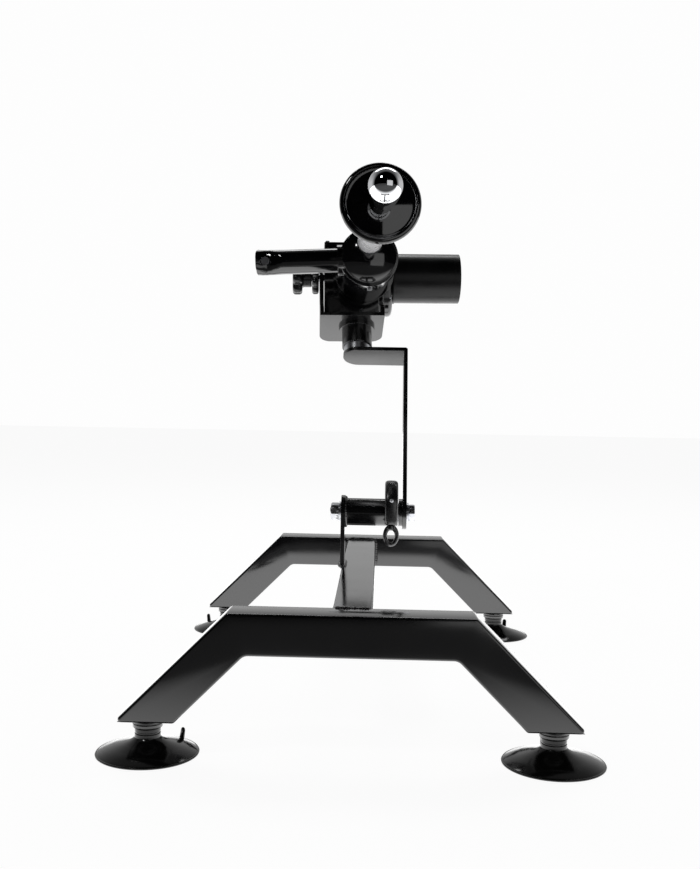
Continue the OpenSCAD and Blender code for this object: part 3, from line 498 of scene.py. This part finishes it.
def cup_profile():
    """Radius and height from the hollow underside, round the thin lip, up the cone to the neck."""
    r, neck = CUP_R, NECK_R
    hollow = [(0.01, 8), (10, 7.6), (20, 6.2), (30, 4.2), (38, 2.2), (r - 4, 0.1)]
    lip = [(r - 0.6, 0), (r, 0.5), (r, 1.3), (r - 0.7, 1.9), (r - 1.6, 1.9), (r - 2.4, 2.5)]
    cone = [(r - 6, 3.7), (r - 7, 4.3), (r - 16, 7.2), (r - 27, 10.6), (r - 32, 12.6), (neck + 2.3, 14.2),
            (neck + 1.3, 15)]
    groove = [(12.6, 16.2), (neck, 18), (neck, 19.6), (neck - 0.8, 20.2), (neck - 0.8, 21.2), (neck, 21.8)]
    return hollow + lip + cone + groove + [(neck, 24.9), (neck - 0.6, 25.5), (0.01, 25.5)]


def build_cups():
    """The four cups, each with its release tab turned as in the photo."""
    shape = Shape()
    for (sx, sy), angle in TAB_ANGLES.items():
        foot = WORLD.moved(sx * FOOT_X, sy * FOOT_Y, 0)
        shape.lathe(foot, cup_profile(), 120)
        tab = foot.turned(angle).moved(CUP_R - 9.5, 0, 2)
        tab = Place(tab.origin, tab.x, tab.z - tab.x * -0.16)
        stops = [(-1, 5.4), (3, 5.2), (8, 4.8), (11, 4.6), (12.6, 3.8), (13.4, 2.2), (13.7, 0.6)]
        rings = [[tab.point(u * 0.55, v, h) for u, v in oval(size, size * 1.25, 2.6, 16)]
                 for h, size in stops]
        shape.loft(rings)
    piece = shape.piece("cups", "base", "cup_rubber", crease=28)
    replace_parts(piece, "suction_cups")


build_cups()


COLLAR_BORE_R = 4.2


def build_collars():
    """Dark turned collars between leg and cup, with a groove and rounded rims."""
    low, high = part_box("foot_collars")
    z0, z1 = low.z / MM, high.z / MM
    r = high.x / MM - FOOT_X
    middle = (z0 + z1) / 2
    lower = [(COLLAR_BORE_R, z0), (r - 1, z0), (r - 0.3, z0 + 0.3), (r, z0 + 1)]
    groove = [(r, middle - 0.6), (r - 0.6, middle), (r, middle + 0.6)]
    upper = [(r, z1 - 1), (r - 0.3, z1 - 0.2), (COLLAR_BORE_R, z1 - 0.05)]
    profile = lower + groove + upper
    shape = Shape()
    for sx, sy in TAB_ANGLES:
        shape.lathe(WORLD.moved(sx * FOOT_X, sy * FOOT_Y, 0), profile, 64, closed=True)
    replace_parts(shape.piece("collars", "base", "frame_black"), "foot_collars")


build_collars()


# ---------- lower pivot ----------

def hexagon_rings(place, flats, z0, z1, chamfer):
    """A hexagon prism with its corners chamfered at both ends."""
    steps = 48
    corner = flats / 2 / math.cos(math.pi / 6)
    rings = []
    for h, limit in ((z0, flats / 2 - chamfer), (z0, flats / 2 * 0.99), (z0 + chamfer, corner),
                     (z1 - chamfer, corner), (z1, flats / 2 * 0.99)):
        ring = []
        for k in range(steps):
            a = TAU * k / steps
            flat = flats / 2 / math.cos((a + math.pi / 6) % (math.pi / 3) - math.pi / 6)
            r = min(flat, limit)
            ring.append(place.point(r * math.cos(a), r * math.sin(a), h))
        rings.append(ring)
    return rings


NUT_FLATS = 19
NUT_CHAMFER = 1.3
THREAD_R = 5.98
THREAD_ROOT_R = 5.2
THREAD_PITCH = 1.75


def build_pivot_bolt():
    """Bolt with a hexagon head and a threaded end, and its nut, turned a little against the head."""
    low, high = WORLD.span("pivot_bolt")
    washer_low, washer_high = WORLD.span("pivot_washers")
    axis = Place((0, PIVOT.origin.y, PIVOT.origin.z), (0, 0, 1), (1, 0, 0))
    shape = Shape().loft(hexagon_rings(axis, NUT_FLATS, washer_high[0], high[0], NUT_CHAMFER))
    profile = [(THREAD_R, washer_high[0]), (THREAD_R, washer_low[0])]
    x = washer_low[0] - 0.1
    while x > low[0] + THREAD_PITCH:
        profile += [(THREAD_R, x), (THREAD_ROOT_R, x - THREAD_PITCH / 2)]
        x -= THREAD_PITCH
    profile += [(5.4, low[0] + 0.6), (4.8, low[0]), (0.01, low[0])]
    shape.lathe(axis, profile, 48)
    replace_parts(shape.piece("bolt_m12", "base", "zinc", crease=25), "pivot_bolt")
    nut_low, nut_high = WORLD.span("pivot_nut")
    nut_rings = hexagon_rings(axis.turned(11), NUT_FLATS, nut_low[0], nut_high[0] - 0.02, NUT_CHAMFER)
    nut = Shape().loft(nut_rings)
    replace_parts(nut.piece("nut_m12", "base", "zinc", crease=25), "pivot_nut")


build_pivot_bolt()


# ---------- snap hook ----------

def middle_x(node):
    low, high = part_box(node)
    return (low.x + high.x) / 2


# x runs back and y up from the boss's axis, z is the hook's width
HOOK = Place((middle_x("snap_hook"), PIVOT.origin.y, PIVOT.origin.z), (0, 1, 0), (1, 0, 0))
HOOK_OUT = 31
HOOK_IN = 20
NOSE_LOW = -8
KNUCKLE = (-20.5, -8)


def build_snap_hook():
    """Forged hook: a flat-sided bar bent over the boss, thick at the shank, ending in a blunt nose."""
    low, high = HOOK.span("snap_hook")
    middle = (HOOK_OUT + HOOK_IN) / 2
    width = high[2] - low[2]
    rise = high[1] - HOOK_OUT
    shank = (low[1] + 0.4, low[1] + 2, low[1] + 6, rise - 4)
    nose = (rise - 4, NOSE_LOW + 6, NOSE_LOW + 2, NOSE_LOW + 0.4)
    stations = [(HOOK.point(-middle, h, 0), -HOOK.x) for h in shank]
    for i in range(1, 20):
        a = math.radians(180 - 180 * i / 20)
        out = HOOK.x * math.cos(a) + HOOK.y * math.sin(a)
        stations.append((HOOK.point(middle * math.cos(a), rise + middle * math.sin(a), 0), out))
    stations += [(HOOK.point(middle, h, 0), HOOK.x) for h in nose]
    rings = []
    last = len(stations) - 1
    for i, (centre, up) in enumerate(stations):
        close = 0.80 if i in (0, last) else 0.95 if i in (1, last - 1) else 1.0
        taper = 1.0 if i < 12 else 1.0 - 0.16 * (i - 12) / (last - 12)
        section = oval(width * close * taper, (HOOK_OUT - HOOK_IN) * close, 3.4, 32)
        rings.append([centre + HOOK.z * (u * MM) + up * (v * MM) for u, v in section])
    shape = Shape().loft(rings)
    # cheeks round the gate's knuckle
    for side in (-1, 1):
        cheek = HOOK.moved(KNUCKLE[0], KNUCKLE[1], side * 5.6)
        disc = [(0.01, -1.9), (4.4, -1.9), (4.6, -1.6), (4.6, 1.6), (4.4, 1.9), (0.01, 1.9)]
        shape.lathe(cheek, disc, 32)
    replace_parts(shape.piece("hook_forging", "hook", "hook_black", crease=45), "snap_hook")


def build_hook_rivet():
    """Small bright rivet head on the front of the shank."""
    front = Place(HOOK.point(-31.0, 17.3, 0.2), (1, 0, 0), (0, -1, 0))
    profile = [(0.01, -3), (2.3, -3), (2.3, 0.4), (2.0, 0.9), (1.2, 1.25), (0.01, 1.4)]
    shape = Shape().lathe(front, profile, 28)
    shape.piece("hook_rivet", "hook", "zinc", crease=40)


def build_eye():
    """Swivel eye: a thick oval link joined straight to the underside of the shank."""
    low, high = WORLD.span("snap_eye")
    shank = WORLD.span("snap_hook")[0][2]
    stem = Place((middle_x("snap_eye"), joints["eye_turn"]["pos_m"][1], 0), (1, 0, 0), (0, 0, 1))
    half_w, half_h = 7.1, 10.2
    ring_z = low[2] + half_h + 2.7
    rings = []
    steps = 44
    for k in range(steps):
        a = TAU * k / steps
        centre = stem.point(half_w * math.cos(a), 0, ring_z + half_h * math.sin(a))
        out = Vector((math.cos(a) / half_w, 0, math.sin(a) / half_h)).normalized()
        thick = 5.2 + 1.6 * max(0.0, math.sin(a)) ** 3
        section = oval(thick, 5.4, 2.3, 18)
        rings.append([centre + out * (u * MM) + Vector((0, v * MM, 0)) for u, v in section])
    shape = Shape().loft(rings, loop=True)
    top = ring_z + half_h
    neck = [(0.01, top - 1.5), (5.6, top - 1.5), (5.2, shank - 1.2), (4.9, shank - 0.25)]
    pin = [(2.15, shank - 0.2), (2.15, high[2] - 3)]
    head = [(2.9, high[2] - 2.8), (2.9, high[2] - 0.3), (0.01, high[2])]
    shape.lathe(stem, neck + pin + head, 28)
    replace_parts(shape.piece("eye_link", "eye", "hook_black", crease=40), "snap_eye")


build_snap_hook()
build_hook_rivet()
build_eye()


# ---------- clamp knob and wheel ----------

def lobed_rings(place, radius, lobes, depth, profile, steps=126):
    """Rings of a hand knob: profile gives (share of the radius, height, share of the lobing)."""
    rings = []
    for share, h, lobing in profile:
        ring = []
        for k in range(steps):
            a = TAU * k / steps
            dip = 0.5 - 0.5 * math.cos(lobes * a)
            r = radius * share - depth * lobing * dip ** 1.6
            ring.append(place.point(r * math.cos(a), r * math.sin(a), h))
        rings.append(ring)
    return rings


KNOB_SIDE = DRIVE.facing("-x")
KNOB_R = 23
WHEEL_R = 22


def build_knob():
    """Seven-lobed star knob on a round hub."""
    low, high = KNOB_SIDE.span("star_knob")
    z0, z1 = low[2], high[2]
    face = z1 - 13
    shape = Shape()
    back = [(0.30, face - 0.2, 0), (0.78, face, 0.7), (0.90, face + 0.5, 0.9), (0.97, face + 1.8, 1)]
    rim = [(1.0, face + 4, 1), (1.0, z1 - 3.6, 1), (0.97, z1 - 1.8, 1), (0.90, z1 - 0.5, 0.9)]
    front = [(0.80, z1, 0.7), (0.50, z1 - 0.1, 0), (0.46, z1 - 0.9, 0), (0.2, z1 - 1.1, 0),
             (0.001, z1 - 1.1, 0)]
    shape.loft(lobed_rings(KNOB_SIDE, KNOB_R, 7, 4.6, back + rim + front))
    hub = [(5.2, z0 + 0.02), (11.4, z0 + 0.02), (12.3, z0 + 0.8), (12.5, z0 + 2), (12.5, face - 2.4),
           (13.1, face - 0.9), (14.6, face + 0.6), (5.2, face + 0.6)]
    shape.lathe(KNOB_SIDE, hub, 64, closed=True)
    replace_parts(shape.piece("knob", "clamp_knob", "knob_plastic", crease=40), "star_knob")


def build_wheel():
    """Nine-lobed wheel behind the knob, the same from both sides."""
    low, high = KNOB_SIDE.span("lock_wheel")
    z0, z1 = low[2], high[2]
    edge = [(0.24, 0.05, 0), (0.84, 0.05, 0.8), (0.93, 0.6, 0.9), (0.985, 1.9, 1), (1.0, 3.6, 1)]
    profile = [(share, z0 + h, lobing) for share, h, lobing in edge]
    profile += [(share, z1 - h, lobing) for share, h, lobing in reversed(edge)]
    rings = lobed_rings(KNOB_SIDE, WHEEL_R, 9, 3.0, profile)
    shape = Shape().loft(rings, loop=True)
    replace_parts(shape.piece("wheel", "clamp_wheel", "knob_plastic", crease=40), "lock_wheel")


build_knob()
build_wheel()


# ---------- rod end ----------

ROD_LIFT = 15.5
TIP_NECK = 30
TIP_FLARE = 22
TIP_BELT = 8
ROD = Place(TUBE.point(0, ROD_LIFT, 0), TUBE.x, TUBE.z)


def build_disc():
    """Flat round disc with a crowned face and a rolled rim."""
    low, high = ROD.span("end_disc")
    z0, z1 = low[2], high[2]
    r = high[0]
    edge = 4.2
    crown = 3.2
    face = [(r * 0.88 * math.sqrt(t), z1 - 0.6 - crown * t)
            for t in (0.9, 0.75, 0.6, 0.45, 0.3, 0.2, 0.1, 0.04)]
    profile = ([(6.1, z0 + 0.4), (r - 9, z0 + 0.4)] + arc(r - edge, z0 + edge, edge, -90, 90, 14)
               + arc(r - edge, z0 + 2 * edge - 0.5, 0.5, 90, 170, 3) + face + [(6.1, z1 - 0.6)])
    shape = Shape().lathe(ROD, profile, 128, closed=True)
    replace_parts(shape.piece("disc", "ram", "disc_gloss", crease=50), "end_disc")


def build_tip():
    """Chromed tip: neck, flared skirt, short belt and a long dome."""
    low, high = ROD.span("tip")
    disc_front = ROD.span("end_disc")[1][2]
    neck_z = disc_front - 4
    z1 = disc_front + TIP_NECK
    r = high[0]
    dome_start = z1 + TIP_FLARE + TIP_BELT
    dome = high[2] - dome_start
    profile = [(0.01, low[2] + 0.5), (5.9, low[2] + 0.5), (5.9, neck_z), (12.5, neck_z), (12.5, z1 - 1.6),
               (14.8, z1 - 0.9), (r - 1.6, z1)]
    profile += [(r - 1.6 + 1.6 * t ** 0.8, z1 + TIP_FLARE * t) for t in (0.1, 0.25, 0.45, 0.65, 0.85, 1)]
    profile += [(r, dome_start)]
    profile += [(r * math.cos(math.radians(a)), dome_start + dome * math.sin(math.radians(a)))
                for a in range(6, 90, 6)] + [(0.01, high[2])]
    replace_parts(Shape().lathe(ROD, profile, 96).piece("tip_chrome", "ram", "chrome", crease=30), "tip")


CAP_HOLE_R = 16.2


def build_cap():
    """Domed plug of the guide tube, bored off centre for the rod."""
    low, high = TUBE.span("tube_cap")
    wall = TUBE.span("guide_tube")[1][2]
    front = high[2]
    r = high[0]
    hole = CAP_HOLE_R
    dome = front - wall - 0.4
    steps = 96

    def ring(radius, height, share=0.0):
        """A ring round the tube's axis, drawn towards the rod's opening as share goes to 1."""
        points = []
        for k in range(steps):
            c, s = math.cos(TAU * k / steps), math.sin(TAU * k / steps)
            x = radius * c + (hole * c - radius * c) * share
            y = radius * s + (ROD_LIFT + hole * s - radius * s) * share
            z = height if share == 0 else front - dome * ((x * x + y * y) / (r * r)) ** 1.15
            points.append(TUBE.point(x, y, z))
        return points

    plug = [(r - 2.3, low[2]), (r - 2.3, wall + 0.02), (r - 0.3, wall + 0.02), (r, wall + 0.3)]
    rings = [ring(radius, height) for radius, height in plug + [(r, wall + 0.6)]]
    rings += [ring(r, 0, share) for share in (0.02, 0.06, 0.12, 0.2, 0.3, 0.42, 0.56, 0.7, 0.84, 0.94, 1.0)]
    turns = [TAU * k / steps for k in range(steps)]
    bottom = [TUBE.point(hole * math.cos(a), ROD_LIFT + hole * math.sin(a), low[2]) for a in turns]
    shape = Shape().loft(rings + [bottom], loop=True)
    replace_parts(shape.piece("cap_dome", "drive", "drive_black", crease=32), "tube_cap")


build_disc()
build_tip()
build_cap()


# ---------- side grip ----------

GRIP_DROOP = 2.3
GRIP = TUBE.turned(GRIP_DROOP).facing("-x")
GRIP_R = 15
GRIP_BORE_R = 13


def build_grip():
    """Tube grip whose outer end is pinched round a cross bolt and flares out behind the pinch."""
    low, high = GRIP.span("grip_tube")
    z0, z1 = low[2], high[2]
    pinch = z1 - 14
    steps = 72
    rings = []
    stops = [z0 + 0.05 + (z1 - z0 - 0.1) * i / 90 for i in range(91)]
    for h in stops:
        ring = []
        near = max(0.0, 1 - abs(h - pinch) / 19)
        flare = max(0.0, (h - pinch) / (z1 - pinch))
        for k in range(steps):
            a = TAU * k / steps
            fore, up = math.cos(a), math.sin(a)
            # diamond-shaped dents in front and behind
            dent = max(0.0, near - (1 - abs(fore)) * 1.5)
            r = GRIP_R - dent * 4.2 - near ** 1.4 * 2.2 * abs(fore)
            r += near * 0.7 * abs(up) ** 3 + 1.1 * flare ** 2 * max(0.0, up)
            r += 0.4 * near * noise.noise(Vector((h * 0.21, up * 2.4, fore * 2.4)))
            back = 4.0 * flare ** 2 * abs(up) ** 5
            ring.append(GRIP.point(r * fore, r * up, h - back))
        rings.append(ring)
    shape = Shape().loft(rings, ends=False)
    # rolled end lip and the wall inside it
    inner = [[p.lerp(GRIP.point(0, 0, h), share) for p in rings[-1]]
             for share, h in ((0.05, z1), (0.12, z1 - 0.8), (0.16, z1 - 3), (0.22, z1 - 9))]
    shape.loft([rings[-1]] + inner, ends=False)
    shape.faces.append(tuple(range(len(shape.points) - steps, len(shape.points))))
    turns = [TAU * k / steps for k in range(steps)]
    first = [GRIP.point(GRIP_BORE_R * math.cos(a), GRIP_BORE_R * math.sin(a), z0 + 0.05) for a in turns]
    shape.loft([rings[0], first], ends=False)
    shape.faces.append(tuple(range(len(shape.points) - steps, len(shape.points))))
    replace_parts(shape.piece("grip", "grip", "drive_black", crease=32), "grip_tube")


build_grip()


# ---------- floor, light and camera ----------

def build_floor():
    """Pale floor, evenly lit to the camera; mirrored, it is bright behind the object and dark in front."""
    bpy.ops.mesh.primitive_plane_add(size=14, location=(0, 1.5, 0))
    floor = bpy.context.object
    floor.name = "floor"
    material, nodes, links, shader = new_material("floor_pale")
    coords = nodes.new("ShaderNodeTexCoord")
    mottle = remap(nodes, links, noise_node(nodes, links, coords, 3), 0.97, 1.0)
    links.new(blend_colour(nodes, links, mottle, (0.15,) * 3, (0.17,) * 3), shader.inputs["Base Color"])
    shader.inputs["Roughness"].default_value = 0.8
    shader.inputs["Specular IOR Level"].default_value = 0.0
    shader.inputs["Emission Color"].default_value = (1, 1, 1, 1)
    place = nodes.new("ShaderNodeNewGeometry")
    split = nodes.new("ShaderNodeSeparateXYZ")
    links.new(place.outputs["Position"], split.inputs["Vector"])
    mirrored = remap(nodes, links, split.outputs["Y"], 0.03, 1.7, -0.52, -0.24)
    ray = nodes.new("ShaderNodeLightPath")
    glow = nodes.new("ShaderNodeMix")
    links.new(ray.outputs["Is Camera Ray"], glow.inputs["Factor"])
    links.new(mirrored, glow.inputs["A"])
    glow.inputs["B"].default_value = 0.93
    links.new(glow.outputs["Result"], shader.inputs["Emission Strength"])
    floor.data.materials.append(material)


def build_world():
    """White to the camera; in reflections pale behind the object, dark above and on the camera's side."""
    world = bpy.data.worlds.new("studio")
    bpy.context.scene.world = world
    world.use_nodes = True
    nodes, links = world.node_tree.nodes, world.node_tree.links
    background = nodes["Background"]
    coords = nodes.new("ShaderNodeTexCoord")
    split = nodes.new("ShaderNodeSeparateXYZ")
    links.new(coords.outputs["Generated"], split.inputs["Vector"])
    behind = remap(nodes, links, split.outputs["Y"], 0.0, 0.6, -0.05, 0.35)
    low = remap(nodes, links, split.outputs["Z"], 1.0, 0.25, 0.25, 0.75)
    around = nodes.new("ShaderNodeMath")
    around.operation = "MULTIPLY"
    links.new(behind, around.inputs[0])
    links.new(low, around.inputs[1])
    ray = nodes.new("ShaderNodeLightPath")
    seen = nodes.new("ShaderNodeMix")
    links.new(ray.outputs["Is Camera Ray"], seen.inputs["Factor"])
    links.new(around.outputs["Value"], seen.inputs["A"])
    seen.inputs["B"].default_value = 0.985
    links.new(seen.outputs["Result"], background.inputs["Strength"])
    background.inputs["Color"].default_value = (1, 1, 1, 1)


def area_light(name, place, target, size, power):
    data = bpy.data.lights.new(name, "AREA")
    data.shape = "RECTANGLE"
    data.size, data.size_y = size
    data.energy = power
    light = bpy.data.objects.new(name, data)
    light.location = place
    light.rotation_euler = (Vector(target) - Vector(place)).to_track_quat("-Z", "Y").to_euler()
    bpy.context.scene.collection.objects.link(light)


CAMERA_PLACE = (0.02237, -1.26183, 0.34348)
CAMERA_YAW = 1.578
CAMERA_PITCH = -2.157
CAMERA_ROLL = 1.037
CAMERA_LENS = 44.04
SENSOR_WIDTH = 36


def build_camera():
    """Placed where the photo's perspective puts it: low, in front, a touch right of the middle."""
    yaw, pitch, roll = (math.radians(a) for a in (CAMERA_YAW, CAMERA_PITCH, CAMERA_ROLL))
    right = Vector((math.cos(yaw), math.sin(yaw), 0))
    ahead = Vector((-math.sin(yaw), math.cos(yaw), 0))
    up = Vector((0, 0, 1))
    view = ahead * math.cos(pitch) + up * math.sin(pitch)
    lift = up * math.cos(pitch) - ahead * math.sin(pitch)
    x = right * math.cos(roll) + lift * math.sin(roll)
    y = lift * math.cos(roll) - right * math.sin(roll)
    data = bpy.data.cameras.new("camera")
    data.sensor_width = SENSOR_WIDTH
    data.lens = CAMERA_LENS
    camera = bpy.data.objects.new("camera", data)
    turn = Matrix((x, y, -view)).transposed()
    camera.matrix_world = Matrix.Translation(CAMERA_PLACE) @ turn.to_4x4()
    bpy.context.scene.collection.objects.link(camera)
    bpy.context.scene.camera = camera


build_floor()
build_world()
area_light("overhead", (0, 1.5, 2.3), (0, 0.1, 0.2), (2.0, 0.7), 16)
area_light("right_front", (0.95, -1.75, 0.45), (0, 0, 0.4), (1.4, 1.4), 4)
area_light("left_lamp", (-0.8, -1.1, 1.7), (0, 0, 0.4), (0.25, 0.25), 3)
build_camera()
bpy.context.scene.view_settings.view_transform = "Standard"
